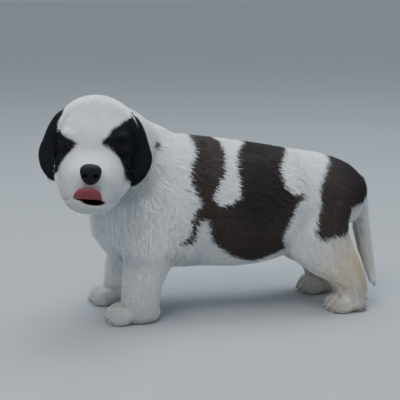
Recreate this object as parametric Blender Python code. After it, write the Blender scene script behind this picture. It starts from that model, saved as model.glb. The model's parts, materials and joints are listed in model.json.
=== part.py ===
"""A Saint Bernard puppy of about five weeks, standing square and looking round to its left.

Life size, in metres, +Z up. The puppy faces -X and its left side faces -Y. The solids are the outside
of its coat: the body is sculpted whole, then parted into named pieces by cuts GAP wide.
Stations and centres are in millimetres from the ground below the middle of the body. The head's own
are in its frame: x to the puppy's right, y to its nose, z up, from the middle of the skull.
"""

import math
import random

import bmesh
import bpy
import numpy as np
from mathutils import Matrix, Vector
from mathutils.bvhtree import BVHTree

MM = 0.001
SIDES = {"left": -1, "right": 1}
GAP = 0.3
SLACK = 0.35  # round a piece that sits in a socket

BODY_TRIANGLES = 3400
HEAD_TRIANGLES = 2200
BODY_VOXEL = 2.2
HEAD_VOXEL = 1.3

# Where the middle of the skull is, and which way the nose points
HEAD_AT = Vector((-141, -69, 216.5))
HEAD_YAW = math.radians(8.5)  # from -Y towards -X
HEAD_PITCH = math.radians(5)  # nose down
HEAD_ROLL = math.radians(4.5)  # right side up
HEAD = (
    Matrix.Translation(HEAD_AT)
    @ Matrix.Rotation(math.pi - HEAD_YAW, 4, "Z")
    @ Matrix.Rotation(-HEAD_PITCH, 4, "X")
    @ Matrix.Rotation(-HEAD_ROLL, 4, "Y")
)

# Trunk: x, top, bottom, half width
TRUNK = [
    (-143, 146, 104, 18),
    (-132, 168, 84, 37),
    (-115, 196, 68, 51),
    (-85, 214, 58, 60),
    (-50, 220, 55, 65),
    (-10, 216, 55, 68),
    (30, 210, 53, 70),
    (70, 204, 57, 68),
    (110, 196, 70, 66),
    (145, 190, 86, 63),
    (172, 181, 98, 56),
    (188, 170, 110, 42),
    (197, 155, 126, 20),
]
# Neck, from inside the trunk to inside the skull: x, y, z, radius
NECK = [
    (-62, 4, 162, 58),
    (-84, -3, 179, 58),
    (-105, -15, 198, 51),
    (-120, -34, 214, 47),
    (-131, -52, 218, 43),
]
# Foreleg, by height: z, front x, back x, y from the midline, half width
FORELEG = [
    (168, -104, -60, 32, 14),
    (150, -118, -46, 36, 26),
    (122, -116, -42, 38, 28),
    (98, -113, -36, 40, 27),
    (76, -109, -44, 42, 25.5),
    (52, -111, -58, 43, 23.5),
    (30, -112, -64, 43, 22.5),
    (12, -114, -66, 43, 22.5),
]
HINDLEG = [
    (172, 128, 172, 28, 14),
    (158, 114, 184, 33, 24),
    (139, 99, 180, 37, 27),
    (114, 86, 171, 40, 28),
    (98, 83, 171, 42, 28),
    (81, 88, 176, 43.5, 28),
    (62, 104, 185, 44, 26),
    (48, 124, 191, 44, 24),
    (36, 145, 194, 44, 22.5),
    (22, 151, 195, 44, 21.5),
    (10, 153, 194, 44, 21),
]
# How far each foot stands behind the left one's stations
STEP = {"fore": {"left": 0, "right": -12}, "hind": {"left": 0, "right": -10}}
TOES_X = {"fore": -113, "hind": 160}
LEG = {"fore": FORELEG, "hind": HINDLEG}
TAIL = [  # x, y, z, radius
    (180, 0, 160, 11),
    (190, 0, 150, 15),
    (194.5, 0, 130, 14.5),
    (198.5, -1, 106, 13),
    (203, -2, 82, 12),
    (208, -3, 58, 10),
    (214, -4, 36, 7.5),
    (220, -5, 16, 3),
]

# The cuts that part the body: centre, size, turn about Y in degrees
TORSO_CUT = ((-100, 0, 180), (0.8, 0.25, -0.54))  # a point and the way to the tail
HEAD_CUT = ((-115, -39, 200), (0.55, 0.65, -0.52))
TAIL_BLOCK = ((223, 0, 82), (60, 60, 150), 14)
LEG_BLOCK = {
    "fore": ((-106, 60, 45), (110, 90, 110), 20),
    "hind": ((193, 66, 75), (170, 96, 150), -30),
}
PAW_TOP = 19.5

# Head
SKULL = ((0, -6, 6), (50, 52, 50))
CHEEK = ((25, 14, -25), (19.5, 34, 31))
BROW = ((24, 26.5, 18), (14, 12.5, 9))
FLEW = ((18, 56, -36), (17, 24, 19))
MUZZLE = [  # y, top, bottom, half width
    (2, 22, -52, 41),
    (22, 14, -60, 39),
    (40, 6, -63, 36),
    (56, 1, -63, 33.5),
    (70, -1, -61, 30.5),
    (79, -5, -56, 25.5),
    (85, -12, -49, 16),
]
EYE_AT = (28.8, 30.2, 4.4)
EYE_RADIUS = 7.2
LID = 1.8
EYE_OUT = (0.46, 0.88, 0.02)
EYE_SLIT = (6.9, 12, 2.0)  # half width, half depth, half height
NOSE_AT = (0, 83, -11)
NOSE_RADII = (12.3, 8.5, 11.2)
NOSTRIL = ((5.6, 91, -11.5), (3.0, 4.5, 2.6))
MOUTH = ((0.5, 64, -41), (21, 28, 5.0))
JAW = ((1, 57, -60), (24, 37, 17.5))
# Tongue, from inside the mouth to its tip over the upper lip: y, z, half width, half thickness
TONGUE = [  # y, z, half width, half thickness
    (50, -40, 9.5, 1.8),
    (62, -40, 11, 1.9),
    (74, -39.5, 12.5, 1.9),
    (83, -37.8, 13.5, 1.9),
    (88.2, -35, 14, 1.9),
    (90.4, -31.5, 14, 1.8),
    (90.6, -28.3, 13, 1.6),
    (89.7, -25.7, 10.5, 1.2),
]
TONGUE_X = 1.6  # to the puppy's right of the middle
# Ear flap, from its root to its tip: x out, y, z, half width, half thickness, hollow, turn to the front
EAR = [
    (33, -16, 33, 13, 3.5, 0, 8),
    (42, -14, 26, 18, 3.6, 1.5, 12),
    (49, -12, 14, 22, 3.5, 3, 17),
    (54, -8, -2, 23.5, 3.4, 4, 21),
    (57.5, -3, -16, 22.5, 3.2, 4, 25),
    (56, 3, -27, 17, 2.9, 3, 27),
    (50.5, 8, -36, 8.5, 2.2, 1.5, 27),
]

# Locks of the long coat: length, width, thickness
LOCK_SIZES = {"long": (34, 9.5, 2.6), "mid": (27, 8.5, 2.4), "short": (20, 7.5, 2.2)}
LOCK_SEED = 5
# Where locks grow on each side: size, count, lie, then points along the row. y counts out from the middle
LOCK_ROWS = {
    "nape": ("mid", 4, (0.8, 0.1, -0.5), (-82, 22, 236), (-66, 40, 216), (-60, 56, 190)),
    "ruff": ("long", 7, (0.75, 0.1, -0.65), (-52, 14, 226), (-50, 50, 204), (-50, 70, 165), (-56, 68, 105)),
    "shoulder": ("long", 6, (0.8, 0, -0.6), (-26, 30, 216), (-24, 66, 180), (-28, 72, 140), (-38, 68, 92)),
    "forechest": ("mid", 4, (0.1, 0, -1), (-142, 6, 128), (-134, 34, 128), (-122, 54, 120)),
    "low_chest": ("mid", 3, (0.2, 0, -1), (-136, 8, 104), (-126, 30, 100)),
    "elbow": ("mid", 3, (0.85, 0, -0.5), (-46, 66, 84), (-40, 56, 70)),
    "belly": ("mid", 7, (0.8, 0, -0.6), (-24, 56, 76), (30, 58, 72), (84, 52, 84)),
    "thigh": ("mid", 4, (0.55, 0, -0.85), (92, 66, 100), (104, 62, 76), (128, 60, 58)),
    "breeches": ("mid", 4, (0.2, 0.1, -1), (172, 36, 140), (172, 52, 118), (170, 58, 100)),
    "croup": ("mid", 4, (0.85, 0.1, -0.5), (160, 10, 188), (166, 30, 178), (170, 44, 160)),
}
TAIL_LOCKS = 12

CLAW = (2.0, 6.5)  # radius, length
TOE_SPREAD = 11

COAT = {  # red, green, blue, roughness
    "coat": (0.80, 0.80, 0.78, 0.9),
    "ear": (0.035, 0.030, 0.028, 0.85),
    "nose": (0.02, 0.02, 0.022, 0.35),
    "tongue": (0.62, 0.20, 0.24, 0.35),
    "eye": (0.015, 0.010, 0.008, 0.08),
    "claw": (0.55, 0.47, 0.40, 0.5),
}


def material(name):
    """The material of that name in COAT, made once."""
    found = bpy.data.materials.get(name)
    if found:
        return found
    made = bpy.data.materials.new(name)
    made.use_nodes = True
    shader = made.node_tree.nodes["Principled BSDF"]
    shader.inputs["Base Color"].default_value = (*COAT[name][:3], 1)
    shader.inputs["Roughness"].default_value = COAT[name][3]
    made.diffuse_color = (*COAT[name][:3], 1)
    return made


def add_object(name, bm):
    """A new object from a bmesh built in millimetres, its faces pointing out."""
    bmesh.ops.recalc_face_normals(bm, faces=bm.faces)
    bmesh.ops.scale(bm, vec=(MM, MM, MM), verts=bm.verts)
    mesh = bpy.data.meshes.new(name)
    bm.to_mesh(mesh)
    bm.free()
    obj = bpy.data.objects.new(name, mesh)
    bpy.context.scene.collection.objects.link(obj)
    return obj


def remove(*objects):
    for obj in objects:
        bpy.data.objects.remove(obj)


def copy_of(obj, name):
    made = bpy.data.objects.new(name, obj.data.copy())
    bpy.context.scene.collection.objects.link(made)
    return made


def applied(obj):
    """The object with its modifiers applied."""
    bpy.context.view_layer.update()
    evaluated = obj.evaluated_get(bpy.context.evaluated_depsgraph_get())
    mesh = bpy.data.meshes.new_from_object(evaluated)
    obj.modifiers.clear()
    obj.data = mesh
    return obj


def boolean(obj, other, operation):
    cut = obj.modifiers.new(operation, "BOOLEAN")
    cut.operation = operation
    cut.object = other
    cut.solver = "EXACT"
    return applied(obj)


def largest(obj):
    """Only the largest closed surface of the object stays."""
    bm = bmesh.new()
    bm.from_mesh(obj.data)
    left = set(bm.verts)
    shells = []
    while left:
        shell = {left.pop()}
        edge = list(shell)
        while edge:
            for link in edge.pop().link_edges:
                for vert in link.verts:
                    if vert in left:
                        left.discard(vert)
                        shell.add(vert)
                        edge.append(vert)
        shells.append(shell)
    shells.sort(key=len)
    bmesh.ops.delete(bm, geom=[vert for shell in shells[:-1] for vert in shell], context="VERTS")
    bm.to_mesh(obj.data)
    bm.free()
    return obj


def decimated(obj, triangles):
    """Fewer faces, most of them where the surface bends."""
    thin = obj.modifiers.new("thin", "DECIMATE")
    now = sum(len(face.vertices) - 2 for face in obj.data.polygons)
    thin.ratio = min(1.0, triangles / now)
    thin.use_collapse_triangulate = True
    return applied(obj)


def inflated(obj, name, by):
    """A copy grown along its normals."""
    made = copy_of(obj, name)
    grow = made.modifiers.new("grow", "DISPLACE")
    grow.strength = by * MM
    grow.mid_level = 0
    return applied(made)


def eased(rows, steps=3):
    """Stations on a smooth curve through the given ones, steps to each interval."""
    rows = np.array(rows, float)
    ends = np.vstack([2 * rows[0] - rows[1], rows, 2 * rows[-1] - rows[-2]])
    found = []
    for i in range(1, len(rows)):
        before, a, b, after = ends[i - 1 : i + 3]
        for t in np.arange(steps) / steps:
            found.append(
                a + (b - before) * t / 2 + (before - 2.5 * a + 2 * b - 0.5 * after) * t**2
                + (1.5 * a - 0.5 * before - 1.5 * b + 0.5 * after) * t**3
            )
    return [[float(value) for value in row] for row in [*found, rows[-1]]]


def round_section(sides, power=2.0):
    """Points (across, up) of a unit superellipse."""
    for i in range(sides):
        angle = 2 * math.pi * i / sides
        c, s = math.cos(angle), math.sin(angle)
        yield math.copysign(abs(c) ** (2 / power), c), math.copysign(abs(s) ** (2 / power), s)


def loft(bm, rings):
    """A closed skin over rings of points, with a fan at each end."""
    made = [[bm.verts.new(point) for point in ring] for ring in rings]
    count = len(made[0])
    for a, b in zip(made, made[1:]):
        for i in range(count):
            j = (i + 1) % count
            bm.faces.new((a[i], a[j], b[j], b[i]))
    for ring in (made[0], made[-1]):
        middle = bm.verts.new(sum((v.co for v in ring), Vector()) / count)
        for i in range(count):
            bm.faces.new((ring[i], ring[(i + 1) % count], middle))


def ellipsoid(bm, centre, radii, frame=Matrix(), segments=24):
    place = frame @ Matrix.Translation(centre) @ Matrix.Diagonal((*radii, 1))
    bmesh.ops.create_uvsphere(bm, u_segments=segments, v_segments=segments // 2, radius=1, matrix=place)


def block(name, centre, size, frame=Matrix(), grow=0.0):
    """A box cutter, turned by the frame about its own centre."""
    bm = bmesh.new()
    place = Matrix.Translation(centre) @ frame @ Matrix.Diagonal((*[s + 2 * grow for s in size], 1))
    bmesh.ops.create_cube(bm, size=1, matrix=place)
    return add_object(name, bm)


def ball(name, centre, radii, grow=0.0, segments=18):
    """An ellipsoid cutter in the head's frame."""
    bm = bmesh.new()
    ellipsoid(bm, centre, [radius + grow for radius in radii], HEAD, segments)
    return add_object(name, bm)


def half_space(name, point, way, shift=0.0):
    """A large box on the far side of the plane through point, shifted along the way."""
    turn = Vector(way).to_track_quat("Z", "Y").to_matrix().to_4x4()
    bm = bmesh.new()
    place = Matrix.Translation(point) @ turn @ Matrix.Translation((0, 0, 300 + shift))
    bmesh.ops.create_cube(bm, size=600, matrix=place)
    return add_object(name, bm)


def trunk(bm):
    rings = []
    for x, top, bottom, half in eased(TRUNK):
        middle, tall = (top + bottom) / 2, (top - bottom) / 2
        rings.append([Vector((x, half * a, middle + tall * b)) for a, b in round_section(32, 2.2)])
    loft(bm, rings)


def leg(bm, stations, side, step):
    """A leg from level sections. Its top stays on the body and its foot is a step away."""
    rings = []
    for z, front, back, y, half in eased(stations):
        middle = (front + back) / 2 + step * max(0.0, min(1.0, (130 - z) / 80))
        long = (back - front) / 2
        rings.append([Vector((middle + long * a, side * y + half * b, z)) for a, b in round_section(24)])
    loft(bm, rings)


def tube(bm, stations, sides):
    """A round tube through points in space: x, y, z, radius."""
    rows = eased(stations)
    points = [Vector(row[:3]) for row in rows]
    rings = []
    for i, row in enumerate(rows):
        along = (points[min(i + 1, len(rows) - 1)] - points[max(i - 1, 0)]).normalized()
        across = along.cross(Vector((0, 1, 0))).normalized()
        up = across.cross(along)
        rings.append([points[i] + row[3] * (across * a + up * b) for a, b in round_section(sides)])
    loft(bm, rings)


def toe_centres(limb, name):
    """The middle of each toe of one paw, from the midline outwards."""
    side, step = SIDES[name], STEP[limb][name]
    y = LEG[limb][-1][3]
    for place in range(4):
        reach = 4.5 if place in (1, 2) else 0
        yield Vector((TOES_X[limb] + step - reach, side * (y + (place - 1.5) * TOE_SPREAD), 9))


def paw(bm, limb, name):
    for centre in toe_centres(limb, name):
        ellipsoid(bm, centre, (14, 6.9, 12), segments=16)
    side, step = SIDES[name], STEP[limb][name]
    y, heel = LEG[limb][-1][3], LEG[limb][-1][2]
    middle, long = (TOES_X[limb] + heel) / 2 + step, (heel - TOES_X[limb]) / 2
    ellipsoid(bm, (middle, side * y, 11), (long + 2, 22, 16))


def legs(bm):
    for limb, stations in LEG.items():
        for name, side in SIDES.items():
            leg(bm, stations, side, STEP[limb][name])
            paw(bm, limb, name)


def muzzle(bm):
    rings = []
    for y, top, bottom, half in eased(MUZZLE):
        middle, tall = (top + bottom) / 2, (top - bottom) / 2
        rings.append([HEAD @ Vector((half * a, y, middle + tall * b)) for a, b in round_section(28, 2.5)])
    loft(bm, rings)


def head_shapes(bm):
    ellipsoid(bm, *SKULL, HEAD, 36)
    muzzle(bm)
    for side in SIDES.values():
        for (x, y, z), radii in (CHEEK, BROW, FLEW):
            ellipsoid(bm, (side * x, y, z), radii, HEAD)
        x, y, z = EYE_AT
        ellipsoid(bm, (side * x, y, z), [EYE_RADIUS + LID] * 3, HEAD)


def front_shapes(bm):
    trunk(bm)
    tube(bm, NECK, 32)
    head_shapes(bm)


def body_shapes(bm):
    front_shapes(bm)
    tube(bm, TAIL, 16)
    legs(bm)


def sculpted(name, build, voxel, smoothing):
    """One smooth closed surface over the shapes that build adds."""
    bm = bmesh.new()
    build(bm)
    obj = add_object(name, bm)
    fuse = obj.modifiers.new("fuse", "REMESH")
    fuse.mode = "VOXEL"
    fuse.voxel_size = voxel * MM
    soften = obj.modifiers.new("soften", "SMOOTH")
    soften.factor = 0.5
    soften.iterations = smoothing
    return applied(obj)


def along(points, t):
    """The point at the fraction t of a row of points."""
    place = t * (len(points) - 1)
    i = min(int(place), len(points) - 2)
    return Vector(points[i]).lerp(Vector(points[i + 1]), place - i)


def lock(tree, root, lie, size, dice):
    """One flat tapered lock that follows the body from a sunk root and lifts off at its tip."""
    length, width, thick = size
    length *= dice.uniform(0.85, 1.1)
    at, normal, _, _ = tree.find_nearest(root * MM)
    lie = lie - normal * lie.dot(normal)
    lie.normalize()
    across = normal.cross(lie)
    bend = dice.uniform(-0.15, 0.15)
    bm = bmesh.new()
    rings = []
    for t, wide, lift in ((0, 0.6, -5), (0.28, 1.0, -0.2), (0.65, 0.8, 1.8)):
        way = at / MM + (lie + across * bend * t) * length * t
        near, out, _, _ = tree.find_nearest(way * MM)
        middle = near / MM + out * lift
        half, tall = across * width * wide / 2, out * thick * (0.6 + 0.4 * wide) / 2
        rings.append([bm.verts.new(middle + offset) for offset in (half, tall, -half, -tall)])
    near, out, _, _ = tree.find_nearest((at / MM + (lie + across * bend) * length) * MM)
    tip = bm.verts.new(near / MM + out * 4)
    for a, b in zip(rings, rings[1:]):
        for i in range(4):
            bm.faces.new((a[i], a[i - 1], b[i - 1], b[i]))
    bm.faces.new(rings[0])
    for i in range(4):
        bm.faces.new((rings[-1][i], rings[-1][i - 1], tip))
    return add_object("lock", bm)


def grow_locks(body):
    """Joins every lock of the long coat to the body in one union."""
    dice = random.Random(LOCK_SEED)
    bm = bmesh.new()
    bm.from_mesh(body.data)
    tree = BVHTree.FromBMesh(bm)
    bm.free()
    coat = bpy.data.collections.new("locks")
    made = []
    for size, count, lie, *points in LOCK_ROWS.values():
        for side in SIDES.values():
            for i in range(count):
                root = along(points, (i + dice.uniform(0.25, 0.75)) / count)
                root = Vector((root.x + dice.uniform(-4, 4), side * root.y, root.z))
                made.append(lock(tree, root, Vector((lie[0], side * lie[1], lie[2])), LOCK_SIZES[size], dice))
    for i in range(TAIL_LOCKS):
        root = along([Vector(row[:3]) for row in TAIL[1:-1]], i / TAIL_LOCKS)
        turn = 2.4 * i
        root += Vector((math.cos(turn), math.sin(turn), 0)) * 12
        made.append(lock(tree, root, Vector((0.15, 0, -1)), LOCK_SIZES["short"], dice))
    for obj in made:
        coat.objects.link(obj)
    join = body.modifiers.new("join", "BOOLEAN")
    join.operation = "UNION"
    join.operand_type = "COLLECTION"
    join.collection = coat
    join.solver = "MANIFOLD"
    applied(body)
    remove(*made)
    bpy.data.collections.remove(coat)
    return largest(body)


def part_from(whole, name, cutter, wider):
    """What of the whole lies in the cutter becomes a new piece, and the whole loses what the wider one holds."""
    piece = largest(boolean(copy_of(whole, name), cutter, "INTERSECT"))
    largest(boolean(whole, wider, "DIFFERENCE"))
    remove(cutter, wider)
    return piece


def mirrored_block(name, centre, size, turn, side, grow):
    frame = Matrix.Rotation(math.radians(turn), 4, "Y")
    x, y, z = centre
    return block(name, (x, side * y, z), size, frame, grow)


def parted_body():
    """The neck, tail, legs and paws, cut one after another from the body. What is left is the torso."""
    body = sculpted("torso", body_shapes, BODY_VOXEL, 14)
    decimated(body, BODY_TRIANGLES)
    grow_locks(body)
    floor = block("floor", (0, 0, -300), (900, 900, 600))
    boolean(body, floor, "DIFFERENCE")
    remove(floor)
    head_room = half_space("head_room", HEAD_CUT[0], -Vector(HEAD_CUT[1]), -GAP)
    largest(boolean(body, head_room, "DIFFERENCE"))
    remove(head_room)
    toward_head = -Vector(TORSO_CUT[1])
    pieces = {
        "neck": part_from(
            body, "neck",
            half_space("cutter", TORSO_CUT[0], toward_head),
            half_space("wider", TORSO_CUT[0], toward_head, -GAP),
        )
    }
    turn = Matrix.Rotation(math.radians(TAIL_BLOCK[2]), 4, "Y")
    pieces["tail"] = part_from(
        body, "tail",
        block("cutter", *TAIL_BLOCK[:2], turn),
        block("wider", *TAIL_BLOCK[:2], turn, GAP),
    )
    for limb in LEG:
        for name, side in SIDES.items():
            (x, y, z), size, angle = LEG_BLOCK[limb]
            centre = (x + STEP[limb][name], y, z)
            whole = part_from(
                body, f"{limb}leg_{name}",
                mirrored_block("cutter", centre, size, angle, side, 0),
                mirrored_block("wider", centre, size, angle, side, GAP),
            )
            pieces[f"{limb}leg_{name}"] = whole
            pieces[f"{limb}paw_{name}"] = part_from(
                whole, f"{limb}paw_{name}",
                block("cutter", (0, 0, PAW_TOP - 50), (900, 900, 100)),
                block("wider", (0, 0, PAW_TOP - 50), (900, 900, 100), grow=GAP),
            )
    pieces["torso"] = body
    return pieces


def claws(pieces):
    """Four claws to each paw, in sockets at the front of its toes."""
    for limb in LEG:
        for name in SIDES:
            for number, centre in enumerate(toe_centres(limb, name), 1):
                bm = bmesh.new()
                radius, length = CLAW
                rings = []
                for t, r in ((0, 0.8), (0.5, 0.9), (1, 0.25)):
                    at = centre + Vector((-9.5 - length * t, 0, -3.0 - 2.2 * t * t))
                    rings.append([at + Vector((0, radius * r * a, radius * r * b)) for a, b in round_section(6)])
                loft(bm, rings)
                claw = add_object(f"claw_{limb}_{name}_{number}", bm)
                room = inflated(claw, "room", SLACK)
                boolean(pieces[f"{limb}paw_{name}"], room, "DIFFERENCE")
                remove(room)
                pieces[claw.name] = claw


def nose():
    """The leather of the nose, with its two nostrils and the groove between them."""
    bm = bmesh.new()
    rings = []
    for y, wide, tall in (
        (-6, 0.80, 0.80), (-1, 0.93, 0.93), (4, 1, 1), (7.5, 0.93, 0.93), (9.6, 0.72, 0.74), (10.6, 0.40, 0.42)
    ):
        x, _, z = NOSE_RADII
        rings.append(
            [
                HEAD @ Vector((x * wide * a * (0.93 + 0.17 * b), NOSE_AT[1] + y, NOSE_AT[2] + z * tall * b))
                for a, b in round_section(24, 2.3)
            ]
        )
    loft(bm, rings)
    obj = add_object("nose", bm)
    for side in SIDES.values():
        (x, y, z), radii = NOSTRIL
        hole = ball("hole", (side * x, y, z), radii, segments=10)
        boolean(obj, hole, "DIFFERENCE")
        remove(hole)
    return largest(obj)


def tongue():
    """The tongue, curled up over the upper lip, with a groove along it."""
    bm = bmesh.new()
    rings = []
    rows = eased(TONGUE, 2)
    for i, (y, z, half, thick) in enumerate(rows):
        a, b = rows[max(i - 1, 0)], rows[min(i + 1, len(rows) - 1)]
        along = Vector((0, b[0] - a[0], b[1] - a[1])).normalized()
        up = Vector((0, -along.z, along.y))
        ring = []
        for across, rise in round_section(10):
            groove = 0.45 * thick * max(0.0, 1 - abs(across) / 0.35) if rise > 0 else 0
            ring.append(HEAD @ (Vector((TONGUE_X + half * across, y, z)) + up * (thick * rise - groove)))
        rings.append(ring)
    loft(bm, rings)
    return add_object("tongue", bm)


def ear(name, side):
    """An ear flap that hangs from the side of the skull, hollow towards the head."""
    bm = bmesh.new()
    rings = []
    rows = eased(EAR, 2)
    for i, (x, y, z, half, thick, hollow, turn) in enumerate(rows):
        turn = math.radians(turn)
        across = Vector((-side * math.sin(turn), math.cos(turn), -0.12)).normalized()
        a, b = Vector(rows[max(i - 1, 0)][:3]), Vector(rows[min(i + 1, len(rows) - 1)][:3])
        along = Vector((side * (b.x - a.x), b.y - a.y, b.z - a.z)).normalized()
        out = across.cross(along).normalized()
        out = out if out.x * side > 0 else -out
        ring = []
        for u, v in round_section(14):
            bend = hollow * ((1 - u * u) * (1.0 if v >= 0 else 1.25) - 1)
            depth = thick * v * (1 - 0.25 * u * u) + bend
            ring.append(HEAD @ (Vector((side * x, y, z)) + across * (half * u) + out * depth))
        rings.append(ring)
    loft(bm, rings)
    return add_object(name, bm)


def eyeball(name, side):
    bm = bmesh.new()
    x, y, z = EYE_AT
    ellipsoid(bm, (side * x, y, z), [EYE_RADIUS] * 3, HEAD, 16)
    return add_object(name, bm)


def eye_room(side):
    """The socket behind the lids and the slit between them."""
    bm = bmesh.new()
    x, y, z = EYE_AT
    ellipsoid(bm, (side * x, y, z), [EYE_RADIUS + SLACK] * 3, HEAD, 16)
    socket = add_object("socket", bm)
    bm = bmesh.new()
    out = Vector((side * EYE_OUT[0], EYE_OUT[1], EYE_OUT[2])).normalized()
    turn = out.to_track_quat("Y", "Z").to_matrix().to_4x4()
    place = Matrix.Translation(Vector((side * x, y, z)) + out * EYE_RADIUS) @ turn
    ellipsoid(bm, (0, 0, 0), EYE_SLIT, HEAD @ place, 14)
    slit = add_object("slit", bm)
    boolean(socket, slit, "UNION")
    remove(slit)
    return socket


def parted_head():
    """The head with its eyes, ears, nose, tongue and jaw."""
    head = sculpted("head", front_shapes, HEAD_VOXEL, 12)
    decimated(head, 4 * HEAD_TRIANGLES)
    margin = half_space("margin", HEAD_CUT[0], HEAD_CUT[1], 8)
    largest(boolean(head, margin, "DIFFERENCE"))
    remove(margin)
    decimated(head, HEAD_TRIANGLES)
    behind = half_space("behind", HEAD_CUT[0], HEAD_CUT[1])
    largest(boolean(head, behind, "DIFFERENCE"))
    remove(behind)
    pieces = {"nose": nose(), "tongue": tongue()}
    for name, side in SIDES.items():
        pieces[f"ear_{name}"] = ear(f"ear_{name}", side)
        pieces[f"eye_{name}"] = eyeball(f"eye_{name}", side)
        socket = eye_room(side)
        boolean(head, socket, "DIFFERENCE")
        remove(socket)
    mouth = ball("mouth", *MOUTH)
    boolean(head, mouth, "DIFFERENCE")
    remove(mouth)
    pieces["jaw"] = part_from(head, "jaw", ball("cutter", *JAW), ball("wider", *JAW, GAP))
    for name in ("nose", "tongue", "ear_left", "ear_right"):
        room = inflated(pieces[name], "room", SLACK)
        boolean(head, room, "DIFFERENCE")
        if name == "tongue":
            boolean(pieces["jaw"], room, "DIFFERENCE")
            largest(pieces["jaw"])
        remove(room)
    pieces["head"] = largest(head)
    return pieces


def stand(objects):
    """Moves everything so that the middle of the bounding box stands over the origin."""
    corners = np.array([obj.matrix_world @ v.co for obj in objects for v in obj.data.vertices])
    low, high = corners.min(axis=0), corners.max(axis=0)
    shift = Vector((-(low[0] + high[0]) / 2, -(low[1] + high[1]) / 2, -low[2]))
    for obj in objects:
        obj.data.transform(Matrix.Translation(shift))


def main():
    for obj in list(bpy.data.objects):
        bpy.data.objects.remove(obj)
    pieces = {**parted_body(), **parted_head()}
    claws(pieces)
    for name in ("ear_left", "ear_right"):
        room = inflated(pieces[name], "room", SLACK)
        largest(boolean(pieces["neck"], room, "DIFFERENCE"))
        remove(room)
    stand(pieces.values())
    for name, piece in pieces.items():
        slot = name.split("_")[0]
        piece.data.materials.clear()
        piece.data.materials.append(material(slot if slot in COAT else "coat"))


main()
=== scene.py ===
"""Looks of the Saint Bernard puppy: skin, coat, eyes, nose, tongue, claws, light and camera.

Shapes are built in the part's own measure, millimetres from the ground below the middle of the body,
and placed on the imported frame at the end. The head's own shapes are in its frame: x to the puppy's
right, y to its nose, z up, from the middle of the skull.
"""

import json
import math

import bmesh
import bpy
import numpy as np
from mathutils import Matrix, Vector
from mathutils.kdtree import KDTree

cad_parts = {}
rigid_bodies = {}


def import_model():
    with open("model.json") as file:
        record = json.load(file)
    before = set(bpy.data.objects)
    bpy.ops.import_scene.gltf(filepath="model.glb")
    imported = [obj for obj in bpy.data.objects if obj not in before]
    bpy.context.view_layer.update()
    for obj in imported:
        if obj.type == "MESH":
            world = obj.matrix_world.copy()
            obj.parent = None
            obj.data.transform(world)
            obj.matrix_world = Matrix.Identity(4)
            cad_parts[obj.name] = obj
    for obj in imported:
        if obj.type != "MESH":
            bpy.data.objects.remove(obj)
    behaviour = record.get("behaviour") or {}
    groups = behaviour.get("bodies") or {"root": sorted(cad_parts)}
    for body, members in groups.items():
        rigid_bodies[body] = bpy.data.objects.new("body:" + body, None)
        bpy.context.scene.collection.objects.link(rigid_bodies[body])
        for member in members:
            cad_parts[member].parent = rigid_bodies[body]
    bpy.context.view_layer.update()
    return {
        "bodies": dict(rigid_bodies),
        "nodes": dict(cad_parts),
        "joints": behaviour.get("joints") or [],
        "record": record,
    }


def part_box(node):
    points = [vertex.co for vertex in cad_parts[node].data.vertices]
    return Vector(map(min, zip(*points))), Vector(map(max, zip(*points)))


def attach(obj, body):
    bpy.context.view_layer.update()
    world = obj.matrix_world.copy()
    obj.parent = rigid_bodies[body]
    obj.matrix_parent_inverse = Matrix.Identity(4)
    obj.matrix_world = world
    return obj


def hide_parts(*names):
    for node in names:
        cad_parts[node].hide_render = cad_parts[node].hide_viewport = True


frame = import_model()

# The part's measures
MM = 0.001
SIDES = {"left": -1, "right": 1}
HEAD = (
    Matrix.Translation((-141, -69, 216.5))
    @ Matrix.Rotation(math.pi - math.radians(8.5), 4, "Z")
    @ Matrix.Rotation(-math.radians(5), 4, "X")
    @ Matrix.Rotation(-math.radians(4.5), 4, "Y")
)
TRUNK = [  # x, top, bottom, half width
    (-143, 146, 104, 18),
    (-132, 168, 84, 37),
    (-115, 196, 68, 51),
    (-85, 214, 58, 60),
    (-50, 220, 55, 65),
    (-10, 216, 55, 68),
    (30, 210, 53, 70),
    (70, 204, 57, 68),
    (110, 196, 70, 66),
    (145, 190, 86, 63),
    (172, 181, 98, 56),
    (188, 170, 110, 42),
    (197, 155, 126, 20),
]
NECK = [  # x, y, z, radius
    (-62, 4, 162, 58),
    (-84, -3, 179, 58),
    (-105, -15, 198, 51),
    (-120, -34, 214, 47),
    (-131, -52, 218, 43),
]
LEG = {  # z, front x, back x, y from the midline, half width
    "fore": [
        (168, -104, -60, 32, 14),
        (150, -118, -46, 36, 26),
        (122, -116, -42, 38, 28),
        (98, -113, -36, 40, 27),
        (76, -109, -44, 42, 25.5),
        (52, -111, -58, 43, 23.5),
        (30, -112, -64, 43, 22.5),
        (12, -114, -66, 43, 22.5),
    ],
    "hind": [
        (172, 128, 172, 28, 14),
        (158, 114, 184, 33, 24),
        (139, 99, 180, 37, 27),
        (114, 86, 171, 40, 28),
        (98, 83, 171, 42, 28),
        (81, 88, 176, 43.5, 28),
        (62, 104, 185, 44, 26),
        (48, 124, 191, 44, 24),
        (36, 145, 194, 44, 22.5),
        (22, 151, 195, 44, 21.5),
        (10, 153, 194, 44, 21),
    ],
}
STEP = {"fore": {"left": 0, "right": -12}, "hind": {"left": 0, "right": -10}}
TOES_X = {"fore": -113, "hind": 160}
TAIL = [  # x, y, z, radius
    (180, 0, 160, 11),
    (190, 0, 150, 15),
    (194.5, 0, 130, 14.5),
    (198.5, -1, 106, 13),
    (203, -2, 82, 12),
    (208, -3, 58, 10),
    (214, -4, 36, 7.5),
    (220, -5, 16, 3),
]
SKULL = ((0, -6, 6), (50, 52, 50))
CHEEK = ((25, 14, -25), (19.5, 34, 31))
BROW = ((24, 26.5, 18), (14, 12.5, 9))
FLEW = ((18, 56, -36), (17, 24, 19))
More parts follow.
